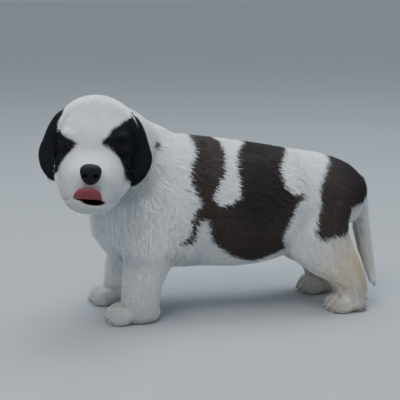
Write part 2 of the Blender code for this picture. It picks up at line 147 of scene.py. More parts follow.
MUZZLE = [  # y, top, bottom, half width
    (2, 22, -52, 41),
    (22, 14, -60, 39),
    (40, 6, -63, 36),
    (56, 1, -63, 33.5),
    (70, -1, -61, 30.5),
    (79, -5, -56, 25.5),
    (85, -12, -49, 16),
]
EYE_AT = (28.8, 30.2, 4.4)
EYE_RADIUS = 7.2
LID = 1.8
EYE_OUT = (0.46, 0.88, 0.02)
EYE_SLIT = (7.0, 12, 1.8)  # half width, half depth, half height
IRIS_ANGLE = math.radians(44)
CORNEA = 0.35
NOSE_AT = (0, 83, -11)
NOSE_RADII = (12.3, 8.5, 11.2)
NOSE_PROFILE = [  # y from the middle, width, height
    (-6, 0.80, 0.80),
    (-1, 0.93, 0.93),
    (4, 1, 1),
    (7.5, 0.93, 0.93),
    (9.6, 0.72, 0.74),
    (10.6, 0.40, 0.42),
]
NOSE_HOLES = [  # centre, radii, slant: each side's nostril and the slit beside it, then the groove
    ((-5.4, 91.5, -11.2), (2.6, 4.5, 2.4), 0),
    ((-8.6, 91, -12.8), (3.6, 3.2, 0.8), -0.45),
    ((5.4, 91.5, -11.2), (2.6, 4.5, 2.4), 0),
    ((8.6, 91, -12.8), (3.6, 3.2, 0.8), 0.45),
    ((0, 94.2, -19), (0.45, 2.2, 8), 0),
]
MOUTH = [  # the opening under the tongue, and the thin line of the lips
    ((-3.5, 64, -41.5), (15, 28, 5.2)),
    ((0.5, 62, -40.5), (21.5, 28, 1.9)),
]
MOUTH_TILT = math.radians(4)
TONGUE = [  # y, z, half width, half thickness
    (50, -40, 9.5, 1.8),
    (62, -40, 11, 1.9),
    (74, -39.5, 12.5, 1.9),
    (83, -38, 14, 1.8),
    (87.8, -35.6, 15.3, 1.7),
    (90.2, -32, 14.6, 1.6),
    (90.4, -28.6, 13, 1.5),
    (89.5, -25.7, 10.5, 1.1),
]
TONGUE_X = 1.6
EAR = [  # x out, y, z, half width, half thickness, hollow, turn to the front
    (33, -16, 33, 13, 3.5, 0, 8),
    (42, -14, 26, 18, 3.6, 1.5, 12),
    (49, -12, 14, 22, 3.5, 3, 17),
    (54, -8, -2, 23.5, 3.4, 4, 21),
    (57.5, -3, -16, 22.5, 3.2, 4, 25),
    (56, 3, -27, 17, 2.9, 3, 27),
    (50.5, 8, -36, 8.5, 2.2, 1.5, 27),
]

# Skin
THROAT = ((-149, -65, 180), 31, (20, 17, 11))  # fills the fold between the right cheek and the neck
SKIN_VOXEL = 1.3
SKIN_SMOOTHING = 14
BODY_SMOOTHING = 50
BODY_FROM = (60, 108)  # from the skull's middle: where the body's smoothing begins, and is whole
FEET_TO = (25, 50)  # and from the ground
SKIN_TRIANGLES = 190000
FOLDS = [  # points in the head's frame, width and depth
    (((0, 46, 14), (0, 40, 24), (0, 26, 40)), 5, 1.0),
    (((0, 94, -20), (0, 91, -36)), 1.8, 1.4),
    (((21, 84, -41), (27, 72, -46), (31, 58, -50), (33, 46, -50)), 1.8, 1.7),
    (((19, 39, -3), (28, 38, -6.5), (37, 30, -5)), 2.2, 0.9),
    (((18, 38, 12), (28, 37, 15), (37, 28, 12)), 2.4, 0.8),
    (((34, 52, -38), (41, 36, -30), (45, 18, -22)), 5, 1.2),
]
TOE_WIDTH = 11
TOE_FOLD = [(6, 22), (-4, 20), (-13, 14), (-16, 4)]  # x from the toes' middle, z
TOE_FOLD_SIZE = (2.4, 1.8)  # width, depth
FLOOR_GAP = 0.3
EAR_SINK = 1.3  # how far an ear's skin lies under its coat

# Coat by place: point, lie, depth of the coat, length of a tuft. Both sides alike
BODY_COAT = [
    ((-82, 0, 236), (0.9, 0, -0.4), 5.5, 15),
    ((-95, 50, 200), (0.7, 0.1, -0.7), 6, 17),
    ((-50, 0, 216), (1, 0, -0.15), 4.5, 13),
    ((30, 0, 209), (1, 0, -0.05), 4, 11),
    ((110, 0, 194), (1, 0, -0.1), 4, 11),
    ((168, 0, 182), (0.85, 0, -0.5), 4.5, 12),
    ((195, 20, 150), (0.25, 0, -1), 5, 14),
    ((-60, 60, 180), (0.75, 0, -0.65), 5, 15),
    ((-92, 58, 140), (0.3, 0, -0.95), 5, 13),
    ((0, 68, 150), (0.85, 0, -0.5), 4.5, 13),
    ((80, 66, 150), (0.85, 0, -0.5), 4.5, 13),
    ((20, 62, 90), (0.9, 0, -0.4), 5, 14),
    ((80, 55, 85), (0.9, 0, -0.3), 4.5, 12),
    ((20, 15, 56), (1, 0, -0.15), 4.5, 12),
    ((-142, 10, 125), (0.1, 0, -1), 5.5, 15),
    ((-128, 10, 85), (0.4, 0, -0.9), 5, 14),
    ((-90, 0, 62), (0.9, 0, -0.4), 4.5, 12),
    ((-80, 66, 90), (0.1, 0, -1), 3.5, 9),
    ((-46, 45, 80), (0.6, 0, -0.8), 4.5, 13),
    ((-88, 43, 40), (0, 0, -1), 2.4, 5.8),
    ((-100, 43, 14), (-0.7, 0, -0.6), 2, 4.8),
    ((-124, 43, 10), (-0.8, 0, -0.6), 1.7, 4.2),
    ((140, 66, 130), (0.5, 0, -0.85), 4.5, 13),
    ((98, 66, 85), (0.4, 0, -0.9), 4, 11),
    ((165, 60, 90), (0.4, 0, -0.9), 4.2, 11),
    ((180, 64, 50), (0.25, 0, -1), 2.8, 7),
    ((172, 64, 26), (0, 0, -1), 2.2, 5.4),
    ((172, 44, 12), (-0.7, 0, -0.5), 1.9, 4.6),
    ((148, 44, 10), (-0.85, 0, -0.5), 1.7, 4.2),
    ((188, 0, 152), (0.4, 0, -0.9), 4.5, 13),
    ((200, 0, 100), (0.12, 0, -1), 4.5, 14),
    ((212, 0, 44), (0.25, 0, -1), 3.6, 12),
    ((220, 0, 14), (0.25, 0, -1), 1.5, 4),
]
HEAD_COAT = [
    ((0, 30, 45), (0, -0.8, 0.6), 1.5, 4.6),
    ((0, -15, 56), (0, -1, 0), 2.3, 7),
    ((0, -55, 15), (0, -0.6, -0.8), 4, 12),
    ((0, 44, 14), (0, -0.3, 1), 1.4, 3.6),
    ((0, 72, 2), (0, -1, 0.3), 1.2, 2.8),
    ((12, 84, 2), (0.5, -0.4, 0.7), 1, 2.4),
    ((30, 60, -15), (0.3, -0.85, -0.4), 1.6, 4),
    ((26, 66, -50), (0.3, -0.4, -0.85), 1.9, 5),
    ((12, 86, -32), (0.7, 0, -0.7), 1.1, 2.6),
    ((0, 78, -60), (0, -0.6, -0.8), 1.8, 5),
    ((0, 40, -66), (0, -1, -0.2), 2.6, 8),
    ((42, 22, -25), (0.25, -0.8, -0.55), 2.6, 8),
    ((44, -12, -30), (0.1, -0.8, -0.6), 3.6, 11),
    ((32, 44, -8), (0.35, -0.75, -0.55), 1.2, 3.2),
    ((31.5, 38.5, 10), (0.25, -0.4, 0.9), 0.5, 2.2),
    ((33, 38.5, -1), (0.3, -0.5, -0.8), 0.5, 2.2),
    ((14, 90, -16), (0.9, -0.4, -0.1), 0.6, 1.8),
    ((26, 36, 20), (0.3, -0.4, 0.85), 1.5, 3.8),
    ((46, 8, 16), (0.2, -0.9, -0.35), 2.3, 6.5),
]
COAT_BLEND = (25, 2.5)  # how softly the guides blend: square millimetres, power
EAR_COAT = (1.6, 6.5)  # depth, length
EAR_FROM = 34  # an ear's coat grows farther out than this from the midline
WHISKERS = [(76, -24), (71, -29), (66, -25), (64, -34), (72, -36), (58, -30)]  # roots on the muzzle: y, z
WHISKER_LENGTHS = (16, 24)
WHISKER_RADIUS = 0.16

# Where the hair ends, and where each colour of the skin ends and how softly. In sizes of the opening
BARE = {"lips": 1.12, "lids": 1.15, "soles": 1.5}  # the soles in mm
# the mouth's edge bounds the painted shade inside the opening of the mouth and the line of the lips; the
# lids' edge bounds the blackish rims of the eyes
FLESH_EDGES = {"nose": (1.1, 0.15), "lips": (1.14, 0.12), "mouth": (1.03, 0.04), "lids": (1.25, 0.15)}

# Markings on the trunk: x along it, and way round from the spine, down the left side first
MANTLE = [
    (-30, 0), (-28, 20), (-27, 38), (-34, 47), (-36, 62), (-31, 78), (-23, 90), (-33, 103), (-34, 128),
    (-48, 143), (-30, 140), (-24, 112), (-16, 110), (-13, 126), (-9, 139), (7, 150), (20, 159), (47, 171),
    (83, 152), (77, 134), (80, 124), (86, 111), (91, 96), (103, 80), (89, 81), (79, 71), (75, 51), (89, 21),
    (96, 0), (94, -30), (86, -60), (96, -88), (84, -118), (50, -130), (12, -118), (-14, -96), (-34, -66),
    (-26, -34),
]
STRIPE = [
    (4, 0), (9, 15), (10, 38), (6, 57), (-4, 74), (-10, 85), (0, 94), (23, 83), (21, 51), (24, 36), (41, 2),
    (36, -18), (22, -34), (8, -20),
]
RUMP = [
    (146, 0), (142, 33), (133, 53), (121, 77), (124, 94), (119, 121), (116, 128), (126, 136), (145, 136),
    (166, 143), (164, 126), (166, 109), (176, 103), (230, 116), (230, -116), (176, -98), (158, -112),
    (134, -88), (128, -60), (140, -28),
]
# Markings on the head: degrees round it from the nose, and up
FACE_LEFT = [
    (-92, 46), (-57, 43), (-38, 38), (-27, 35), (-21, 27), (-11, 19), (-11, 14), (-20, 9), (-30, 2),
    (-36, -4), (-38, -12), (-40, -24), (-60, -37), (-84, -34), (-94, -18), (-100, 20),
]
FACE_RIGHT = [
    (110, 48), (78, 45), (75, 34), (66, 24), (45, 19), (35, 17), (22, 13), (30, 3), (37, -5), (41, -14),
    (46, -24), (62, -34), (90, -34), (120, -18), (125, 20),
]
NAPE_SPOT = ((-67.5, -33.5, 1), (7, 8, 7))  # head frame
# Darker hair in the brown, and cream in the white: place, reach and share
DARK_HAIR = [((50, 60, 160), 48, 0.6), ((55, 0, 205), 55, 0.6), ((186, 15, 165), 48, 0.65)]
CREAM_HAIR = [((172, 44, 60), 52, 1.0), ((165, 44, 10), 35, 0.7), ((-100, 43, 10), 45, 0.35)]
CREAM_ALL = 0.12  # the share of cream in the white
HEAD_REACH = 75  # no marking of the trunk reaches nearer to the skull's middle
FACE_REACH = 64  # and none of the head goes farther from it
GIRTH = 65  # mm of girth to a radian round the trunk
MARKS_BLUR = 1.2  # how far the colours of the hair run into one another

COAT_SEED = 11
LOCK = 2.1  # the width of a lock of tufts with a tone of its own
MOST_TRIANGLES = 198000  # in one piece of the coat
BENT_FROM = 5.5  # a shorter tuft is straight
TUFT_LENGTHS = (2.2, 4, 7.5, 17)
TUFT_WIDTHS = (0.36, 0.46, 0.60, 0.80)
TUFTS_PER_MM2 = (3.4, 2.3, 1.1, 0.62)
EAR_TUFTS_PER_MM2 = 1.6
TUFT_LAYERS = (0.15, 0.5, 1.2)  # low, middle and high tufts, in depths of the coat
LAYER_WIDTHS = (2.2, 1.3, 0.8)  # and how wide they are for their length
LEADERS = 0.03  # the share of the tufts that draw the others' tips to them
TIP_PULL = 0.225  # of the way to the leader, for a long tuft
MIDDLE_PULL = 0.35  # of the pull on the tip
# Two kinds of tuft: which of the points it uses, its triangles, and each point's way across and along it
TUFT_KINDS = {
    "long": (
        (0, 4, 5, 6, 7),
        [(0, 1, 2), (0, 2, 3), (0, 3, 1), (1, 4, 2), (2, 4, 3), (3, 4, 1)],
        (0.5, 0, 0.5, 1, 0.5),
        (0, 0.5, 0.5, 0.5, 1),
    ),
    "short": ((1, 2, 3, 7), [(0, 3, 1), (1, 3, 2), (2, 3, 0)], (0, 0.5, 1, 0.5), (0, 0, 0, 1)),
}
PATCH = 0.003  # the size of a tuft on the map

# The unwrap: each chart's corner and size on the map
SMALL_CHARTS = ("fore_left", "fore_right", "hind_left", "hind_right", "tail", "ear_left", "ear_right")
CHARTS = {"head": (0.01, 0.51, 0.47), "trunk": (0.51, 0.51, 0.47)} | {
    name: (0.01 + 0.25 * (i % 4), 0.26 - 0.25 * (i // 4), 0.23) for i, name in enumerate(SMALL_CHARTS)
}
LIMB_CHARTS = {"fore": (-150, -30, 80), "hind": (80, 200, 95)}  # from x, to x, below z
TAIL_CHART = (186, 145)  # from x, below z
HEAD_CHART = (72, 110, 20)  # reach from the skull's middle, and reach of the muzzle from y
SHOULDERS_TO, RUMP_FROM = -20, 100  # where one piece of the coat ends and the next begins
ZONE_BLUR = 7  # and how far they run into one another

COLOURS = {
    "white": (0.86, 0.87, 0.88),
    "cream": (0.70, 0.55, 0.33),
    "brown": (0.046, 0.036, 0.031),
    "russet": (0.074, 0.051, 0.040),
    "brown_tip": (0.100, 0.080, 0.068),
    "black": (0.010, 0.010, 0.012),
    "black_tip": (0.020, 0.021, 0.026),
    "pink": (0.74, 0.58, 0.56),
    "lip": (0.26, 0.11, 0.080),
    # near black: painted shade inside the mouth, and also the own colour of the rims of the eyes
    "dark": (0.018, 0.010, 0.009),
    "leather": (0.006, 0.007, 0.009),
    "leather_pale": (0.018, 0.020, 0.025),
    "tongue": (0.17, 0.022, 0.030),
    "tongue_pale": (0.27, 0.042, 0.052),
    "horn": (0.32, 0.26, 0.21),
    "horn_pale": (0.62, 0.54, 0.46),
    "pupil": (0.003, 0.003, 0.003),
    "iris": (0.018, 0.009, 0.006),
    "iris_pale": (0.045, 0.022, 0.012),
    "eye_white": (0.07, 0.05, 0.045),
    "floor": (0.40, 0.41, 0.41),
    "floor_pale": (0.43, 0.44, 0.44),
}
TONES = (0.80, 1.12)  # the darkest and the lightest lock
# painted shade: each tuft darker towards its root, where the coat around it would shade it
PAINTED_ROOT_SHADE = (0.90, 1.02)  # a tuft's shade from root to tip
SOFTNESS = 0.75  # how much of the light goes on through a tuft
SOFT_RADIUS = (0.0025, 0.0025, 0.0025)  # and how far, in metres
PUPIL_EDGE = (0.30, 0.36)  # from the middle of the eye, where 0.8 is the edge of its bulge
IRIS_EDGE = (0.74, 0.82)

# Camera: way round, height, distance in metres and lens, from the photograph
VIEW = (-11, 11, 1.33)
LOOK_AT = (0, 40, 128)
LENS = 94.5
SKY = ((0.76, 0.86, 1.0), 0.62)  # colour, strength
LIGHTS = {  # place, size, power, colour
    "key": ((-0.8, -1.1, 2.1), 1.1, 24, (0.95, 0.97, 1.0)),
    "top": ((0.2, 0.3, 2.3), 1.6, 40, (0.76, 0.89, 1.0)),
}
LIT_AT = (0, 0, 0.12)


def new_object(name, bm):
    """A new object from a bmesh, with its faces turned outwards."""
    bmesh.ops.recalc_face_normals(bm, faces=bm.faces)
    mesh = bpy.data.meshes.new(name)
    bm.to_mesh(mesh)
    bm.free()
    obj = bpy.data.objects.new(name, mesh)
    bpy.context.scene.collection.objects.link(obj)
    return obj


def modify(obj, kind, **values):
    """Applies one modifier to the object."""
    modifier = obj.modifiers.new(kind, kind)
    for name, value in values.items():
        setattr(modifier, name, value)
    bpy.context.view_layer.update()
    evaluated = obj.evaluated_get(bpy.context.evaluated_depsgraph_get())
    mesh = bpy.data.meshes.new_from_object(evaluated)
    obj.modifiers.clear()
    obj.data = mesh


def combine(obj, operation, other):
    """Joins the other object to this one, or takes it away."""
    modify(obj, "BOOLEAN", operation=operation, object=other, solver="MANIFOLD")
    bpy.data.objects.remove(other)


def part_origin():
    """Where the part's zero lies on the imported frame, in metres, by the middle of the left eye."""
    low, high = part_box("eye_left")
    x, y, z = EYE_AT
    return (low + high) / 2 - (HEAD @ Vector((-x, y, z))) * MM


def placed(obj):
    """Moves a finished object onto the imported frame."""
    obj.data.transform(Matrix.Translation(part_origin()) @ Matrix.Diagonal((MM, MM, MM, 1)))
    obj.data.shade_smooth()
    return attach(obj, "root")


def eased(rows, steps=3):
    """Stations on a smooth curve through the given ones, steps to each interval."""
    rows = np.array(rows, float)
    ends = np.vstack([2 * rows[0] - rows[1], rows, 2 * rows[-1] - rows[-2]])
    found = []
    for i in range(1, len(rows)):
        before, a, b, after = ends[i - 1 : i + 3]
        for t in np.arange(steps) / steps:
            found.append(
                a + (b - before) * t / 2 + (before - 2.5 * a + 2 * b - 0.5 * after) * t**2
                + (1.5 * a - 0.5 * before - 1.5 * b + 0.5 * after) * t**3
            )
    return [[float(value) for value in row] for row in [*found, rows[-1]]]


def round_section(sides, power=2.0):
    """Points (across, up) of a unit superellipse."""
    for i in range(sides):
        angle = 2 * math.pi * i / sides
        c, s = math.cos(angle), math.sin(angle)
        yield math.copysign(abs(c) ** (2 / power), c), math.copysign(abs(s) ** (2 / power), s)


def loft(bm, rings):
    """A closed skin over rings of points, with a fan at each end."""
    made = [[bm.verts.new(point) for point in ring] for ring in rings]
    count = len(made[0])
    for a, b in zip(made, made[1:]):
        for i in range(count):
            j = (i + 1) % count
            bm.faces.new((a[i], a[j], b[j], b[i]))
    for ring in (made[0], made[-1]):
        middle = bm.verts.new(sum((v.co for v in ring), Vector()) / count)
        for i in range(count):
            bm.faces.new((ring[i], ring[(i + 1) % count], middle))


def ellipsoid(bm, centre, radii, frame=Matrix(), segments=32):
    place = frame @ Matrix.Translation(centre) @ Matrix.Diagonal((*radii, 1))
    bmesh.ops.create_uvsphere(bm, u_segments=segments, v_segments=segments // 2, radius=1, matrix=place)


def ball(name, centre, radii, frame, segments=24):
    """An ellipsoid as an object of its own."""
    bm = bmesh.new()
    ellipsoid(bm, centre, radii, frame, segments)
    return new_object(name, bm)


def hull(bm, stations, sections, frame):
    """A loft through upright sections: the way along it, top, bottom and half width."""
    rings = []
    for y, top, bottom, half in eased(stations):
        middle, tall = (top + bottom) / 2, (top - bottom) / 2
        rings.append([frame @ Vector((half * a, y, middle + tall * b)) for a, b in sections])
    loft(bm, rings)


def leg(bm, stations, side, step):
    """One leg. The step moves its foot along the body."""
    rings = []
    for z, front, back, y, half in eased(stations):
        middle = (front + back) / 2 + step * max(0.0, min(1.0, (130 - z) / 80))
        long = (back - front) / 2
        rings.append([Vector((middle + long * a, side * y + half * b, z)) for a, b in round_section(28)])
    loft(bm, rings)


def paw(bm, limb, name):
    """Four toes and the foot behind them."""
    side, step = SIDES[name], STEP[limb][name]
    y, heel = LEG[limb][-1][3], LEG[limb][-1][2]
    for place in range(4):
        x = TOES_X[limb] + step - (4.5 if place in (1, 2) else 0)
        ellipsoid(bm, (x, side * (y + (place - 1.5) * TOE_WIDTH), 9), (14, 6.9, 12))
    middle, long = (TOES_X[limb] + heel) / 2 + step, (heel - TOES_X[limb]) / 2
    ellipsoid(bm, (middle, side * y, 11), (long + 2, 22, 16))


def tube(bm, stations, sides):
    """A round tube through points in space: x, y, z, radius."""
    rows = eased(stations)
    points = [Vector(row[:3]) for row in rows]
    rings = []
    for i, row in enumerate(rows):
        along = (points[min(i + 1, len(rows) - 1)] - points[max(i - 1, 0)]).normalized()
        across = along.cross(Vector((0, 1, 0))).normalized()
        up = across.cross(along)
        rings.append([points[i] + row[3] * (across * a + up * b) for a, b in round_section(sides)])
    loft(bm, rings)


def head_shapes(bm):
    ellipsoid(bm, *SKULL, HEAD, 48)
    hull(bm, MUZZLE, list(round_section(36, 2.5)), HEAD)
    for side in SIDES.values():
        for (x, y, z), radii in (CHEEK, BROW, FLEW):
            ellipsoid(bm, (side * x, y, z), radii, HEAD)
        x, y, z = EYE_AT
        ellipsoid(bm, (side * x, y, z), [EYE_RADIUS + LID] * 3, HEAD)
    centre, tilt, radii = THROAT
    ellipsoid(bm, (0, 0, 0), radii, Matrix.Translation(centre) @ Matrix.Rotation(math.radians(tilt), 4, "X"))


def body_shapes(bm):
    swapped = Matrix(((0, 1, 0, 0), (1, 0, 0, 0), (0, 0, 1, 0), (0, 0, 0, 1)))  # x along, y across
    hull(bm, TRUNK, list(round_section(40, 2.2)), swapped)
    tube(bm, NECK, 32)
    head_shapes(bm)
    tube(bm, TAIL, 20)
    for limb, stations in LEG.items():
        for name, side in SIDES.items():
            leg(bm, stations, side, STEP[limb][name])
            paw(bm, limb, name)


def vectors(mesh, values, name):
    """An attribute of a mesh's points or their normals, as an array of rows."""
    found = np.empty(len(values) * 3, np.float32)
    values.foreach_get(name, found)
    return found.reshape(-1, 3).astype(float)


def in_head(points):
    """The points in the head's frame."""
    turn = np.array(HEAD.to_3x3())
    return (points - np.array(HEAD.translation)) @ turn


def size_of(rows):
    """The length of each row."""
    return np.linalg.norm(rows, axis=1)


def unit(rows):
    return rows / np.maximum(size_of(rows)[:, None], 1e-9)


def coat_guides():
    """Every guide of the coat in the part's measure: places, lies, depths and lengths."""
    rows = []
    for (x, y, z), (a, b, c), depth, length in BODY_COAT:
        for side in SIDES.values():
            rows.append((x, side * y, z, a, side * b, c, depth, length))
    turn = HEAD.to_3x3()
    for (x, y, z), (a, b, c), depth, length in HEAD_COAT:
        for side in SIDES.values():
            at, lie = HEAD @ Vector((side * x, y, z)), turn @ Vector((side * a, b, c))
            rows.append((*at, *lie, depth, length))
    return np.array(rows)


def coat_at(points):
    """Lie, depth and length of the coat at each point, from the guides near it."""
    guides = coat_guides()
    found = np.empty((len(points), 5))
    for start in range(0, len(points), 20000):
        part = points[start : start + 20000]
        far = ((part[:, None, :] - guides[None, :, :3]) ** 2).sum(2)
        weight = 1 / (far + COAT_BLEND[0]) ** COAT_BLEND[1]
        weight /= weight.sum(1, keepdims=True)
        found[start : start + 20000] = weight @ guides[:, 3:]
    return unit(found[:, :3]), found[:, 3], found[:, 4]


def inside(points, outline):
    """How far inside an outline each flat point lies, negative outside."""
    held = np.zeros(len(points), bool)
    nearest = np.full(len(points), np.inf)
    corners = np.array(outline, float)
    for a, b in zip(corners, np.roll(corners, -1, axis=0)):
        if a[1] != b[1]:
            crosses = (a[1] > points[:, 1]) != (b[1] > points[:, 1])
            at = a[0] + (points[:, 1] - a[1]) / (b[1] - a[1]) * (b[0] - a[0])
            held ^= crosses & (points[:, 0] < at)
        edge = b - a
        t = np.clip((points - a) @ edge / (edge @ edge), 0, 1)
        nearest = np.minimum(nearest, np.hypot(*(points - a - t[:, None] * edge).T))
    return np.where(held, nearest, -nearest)


def soft(value, width):
    """0 to 1 as the value goes from minus the width to the width."""
    t = np.clip((value / width + 1) / 2, 0, 1)
    return t * t * (3 - 2 * t)


def round_trunk(points):
    """x and the way round the trunk from the spine, down the left side first, in millimetres."""
    rows = np.array(TRUNK, float)
    middle = np.interp(points[:, 0], rows[:, 0], (rows[:, 1] + rows[:, 2]) / 2)
    return np.stack([points[:, 0], GIRTH * np.arctan2(-points[:, 1], points[:, 2] - middle)], 1)


def round_head(points):
    """Degrees round the head from the nose, and up, and how far from the skull's middle."""
    local = in_head(points)
    far = size_of(local)
    return np.degrees(np.stack([np.arctan2(local[:, 0], local[:, 1]), np.arcsin(local[:, 2] / far)], 1)), far


def markings(points, width=2.0):
    """Black, brown and cream at each point, from 0 to 1."""
    trunk_at = round_trunk(points)
    head_at, far = round_head(points)
    mantle = np.minimum(inside(trunk_at, MANTLE), -inside(trunk_at, STRIPE))
    brown = soft(np.maximum(mantle, inside(trunk_at, RUMP)), width) * (far > HEAD_REACH)
    patches = np.maximum(inside(head_at, FACE_LEFT), inside(head_at, FACE_RIGHT))
    black = soft(patches, width) * (far < FACE_REACH)
    centre, radii = NAPE_SPOT
    spot = 1 - size_of((in_head(points) - centre) / np.array(radii))
    black = np.maximum(black, soft(spot * 6, width))
    for centre, reach, much in DARK_HAIR:
        for side in SIDES.values():
            away = size_of(points - np.array(centre) * (1, side, 1))
            black = np.maximum(black, much * brown * np.exp(-((away / reach) ** 4)))
    cream = np.full(len(points), CREAM_ALL)
    for centre, reach, much in CREAM_HAIR:
        for side in SIDES.values():
            away = size_of(points - np.array(centre) * (1, side, 1))
            cream = np.maximum(cream, much * np.exp(-((away / reach) ** 2)))
    return np.stack([black, brown, cream], 1)


def add_floats(mesh, **rows):
    """Adds a named number to every point of a mesh, for its material."""
    for name, values in rows.items():
        layer = mesh.attributes.new(name, "FLOAT", "POINT")
        layer.data.foreach_set("value", np.full(len(mesh.vertices), values, np.float32))


def ear(name, side, sink=0.0):
    """An ear flap that hangs from the side of the skull."""
    bm = bmesh.new()
    rings = []
    rows = eased(EAR, 6)
    for i, (x, y, z, half, thick, hollow, turn) in enumerate(rows):
        turn = math.radians(turn)
        across = Vector((-side * math.sin(turn), math.cos(turn), -0.12)).normalized()
        a, b = Vector(rows[max(i - 1, 0)][:3]), Vector(rows[min(i + 1, len(rows) - 1)][:3])
        along = Vector((side * (b.x - a.x), b.y - a.y, b.z - a.z)).normalized()
        out = across.cross(along).normalized()
        out = out if out.x * side > 0 else -out
        ring = []
        for u, v in round_section(40):
            bend = hollow * ((1 - u * u) * (1.0 if v >= 0 else 1.25) - 1)
            depth = (thick - sink) * v * (1 - 0.25 * u * u) + bend
            ring.append(HEAD @ (Vector((side * x, y, z)) + across * ((half - sink) * u) + out * depth))
        rings.append(ring)
    loft(bm, rings)
    return new_object(name, bm)


def beside(points, row):
    """The distance of each point from a row of points."""
    nearest = np.full(len(points), np.inf)
    for a, b in zip(row, row[1:]):
        a, step = np.array(a, float), np.subtract(b, a).astype(float)
        t = np.clip((points - a) @ step / (step @ step), 0, 1)
        nearest = np.minimum(nearest, size_of(points - a - t[:, None] * step))
    return nearest


def fold_face(points, depth):
    """Adds the folds of the face to the depth of each point. One on the midline counts for both sides."""
    local = in_head(points)
    for row, width, deep in FOLDS:
        for side in SIDES.values():
            away = beside(local, [(side * x, y, z) for x, y, z in row])
            depth += deep * np.exp(-((away / width) ** 2)) * (1 if row[0][0] else 0.5)


def fold_toes(points, depth):
    """Adds the folds between the toes."""
    width, deep = TOE_FOLD_SIZE
    for limb, front in TOES_X.items():
        for name, side in SIDES.items():
            for gap in (-1, 0, 1):
                y = side * (LEG[limb][-1][3] + gap * TOE_WIDTH)
                away = beside(points, [(front + STEP[limb][name] + x, y, z) for x, z in TOE_FOLD])
                depth += deep * np.exp(-((away / width) ** 2))


def sink(obj):
    """Moves the skin in by the depth of its coat and the folds."""
    mesh = obj.data
    points = vectors(mesh, mesh.vertices, "co")
    normals = vectors(mesh, mesh.vertex_normals, "vector")
    depth = coat_at(points)[1]
    fold_face(points, depth)
    fold_toes(points, depth)
    points -= normals * depth[:, None]
    points[:, 2] = np.maximum(points[:, 2], FLOOR_GAP)
    mesh.vertices.foreach_set("co", points.astype(np.float32).ravel())
    mesh.update()


def smooth_body(skin):
    """Softens where the legs and tail leave the trunk, and leaves the head as it is."""
    points = vectors(skin.data, skin.data.vertices, "co")
    shares = []
    for far, (low, high) in ((size_of(in_head(points)), BODY_FROM), (points[:, 2], FEET_TO)):
        shares.append(np.clip((far - low) / (high - low), 0, 1))
    share = np.minimum(*shares)
    group = skin.vertex_groups.new(name="body")
    for level in range(1, 9):
        held = np.flatnonzero(np.ceil(share * 8) == level)
        group.add([int(i) for i in held], level / 8, "REPLACE")
    modify(skin, "SMOOTH", factor=0.5, iterations=BODY_SMOOTHING, vertex_group=group.name)
    skin.vertex_groups.clear()


def eye_frame(side):
    """The frame of an eye's opening in the head's frame: x along the lids, y out, z up."""
    x, y, z = EYE_AT
    out = Vector((side * EYE_OUT[0], EYE_OUT[1], EYE_OUT[2])).normalized()
    turn = out.to_track_quat("Y", "Z").to_matrix().to_4x4()
    return Matrix.Translation(Vector((side * x, y, z)) + out * EYE_RADIUS) @ turn


def eye_room(side):
    """The socket behind the lids and the slit between them."""
    x, y, z = EYE_AT
    socket = ball("socket", (side * x, y, z), [EYE_RADIUS + 0.1] * 3, HEAD, 32)
    combine(socket, "UNION", ball("slit", (0, 0, 0), EYE_SLIT, HEAD @ eye_frame(side)))
    return socket


def sort_faces(obj):
    """Puts the faces in the same order in every run, which the Boolean solver doesn't."""
    mesh = obj.data
    faces = []
    for face in mesh.polygons:
        corners = list(face.vertices)
        first = corners.index(min(corners))
        faces.append(corners[first:] + corners[:first])
    points = [vert.co.copy() for vert in mesh.vertices]
    mesh.clear_geometry()
    mesh.from_pydata(points, [], sorted(faces))


def make_skin():
    """One skin over the whole puppy, in by the coat's depth, with its mouth and lids."""
    bm = bmesh.new()
    body_shapes(bm)
    skin = new_object("skin", bm)
    modify(skin, "REMESH", mode="VOXEL", voxel_size=SKIN_VOXEL)
    modify(skin, "SMOOTH", factor=0.5, iterations=SKIN_SMOOTHING)
    smooth_body(skin)
    sink(skin)
    modify(skin, "DECIMATE", ratio=min(1.0, SKIN_TRIANGLES / (2 * len(skin.data.polygons))))
    for side in SIDES.values():
        combine(skin, "DIFFERENCE", eye_room(side))
    for centre, radii in MOUTH:
        place = HEAD @ Matrix.Translation(centre) @ Matrix.Rotation(-MOUTH_TILT, 4, "Y")
        combine(skin, "DIFFERENCE", ball("mouth", (0, 0, 0), radii, place, 32))
    sort_faces(skin)
    return skin


def roots_on(obj, density):
    """Points spread over an object, so many to a square millimetre, with their normals."""
    mesh = obj.data
    mesh.calc_loop_triangles()
    corners = np.empty(len(mesh.loop_triangles) * 3, np.int32)
    mesh.loop_triangles.foreach_get("vertices", corners)
    corners = corners.reshape(-1, 3)
    points = vectors(mesh, mesh.vertices, "co")
    normals = vectors(mesh, mesh.vertex_normals, "vector")
    a, b, c = (points[corners[:, i]] for i in range(3))
    area = size_of(np.cross(b - a, c - a)) / 2
    heavy = np.cumsum(area * density((a + b + c) / 3))
    dice = np.random.default_rng(COAT_SEED)
    count = int(heavy[-1] / (1))
    picks = (np.arange(count) + dice.random(count)) / count * heavy[-1]
    face = np.minimum(np.searchsorted(heavy, picks), len(heavy) - 1)
    u, v = dice.random(count), dice.random(count)
    over = u + v > 1
    u[over], v[over] = 1 - u[over], 1 - v[over]
    share = np.stack([1 - u - v, u, v], 1)[:, :, None]
    return (points[corners[face]] * share).sum(1), unit((normals[corners[face]] * share).sum(1))


def from_slit(local, name):
    """How far each point of the head lies from the slit of an eye: 1 at its edge."""
    turn = np.array(eye_frame(SIDES[name]).inverted())
    at = local @ turn[:3, :3].T + turn[:3, 3]
    return size_of(at / EYE_SLIT)


def from_mouth(local):
    """The same for the opening of the mouth and the line of the lips."""
    turn = np.array(Matrix.Rotation(-MOUTH_TILT, 3, "Y"))
    return np.minimum(*(size_of((local - centre) @ turn / radii) for centre, radii in MOUTH))


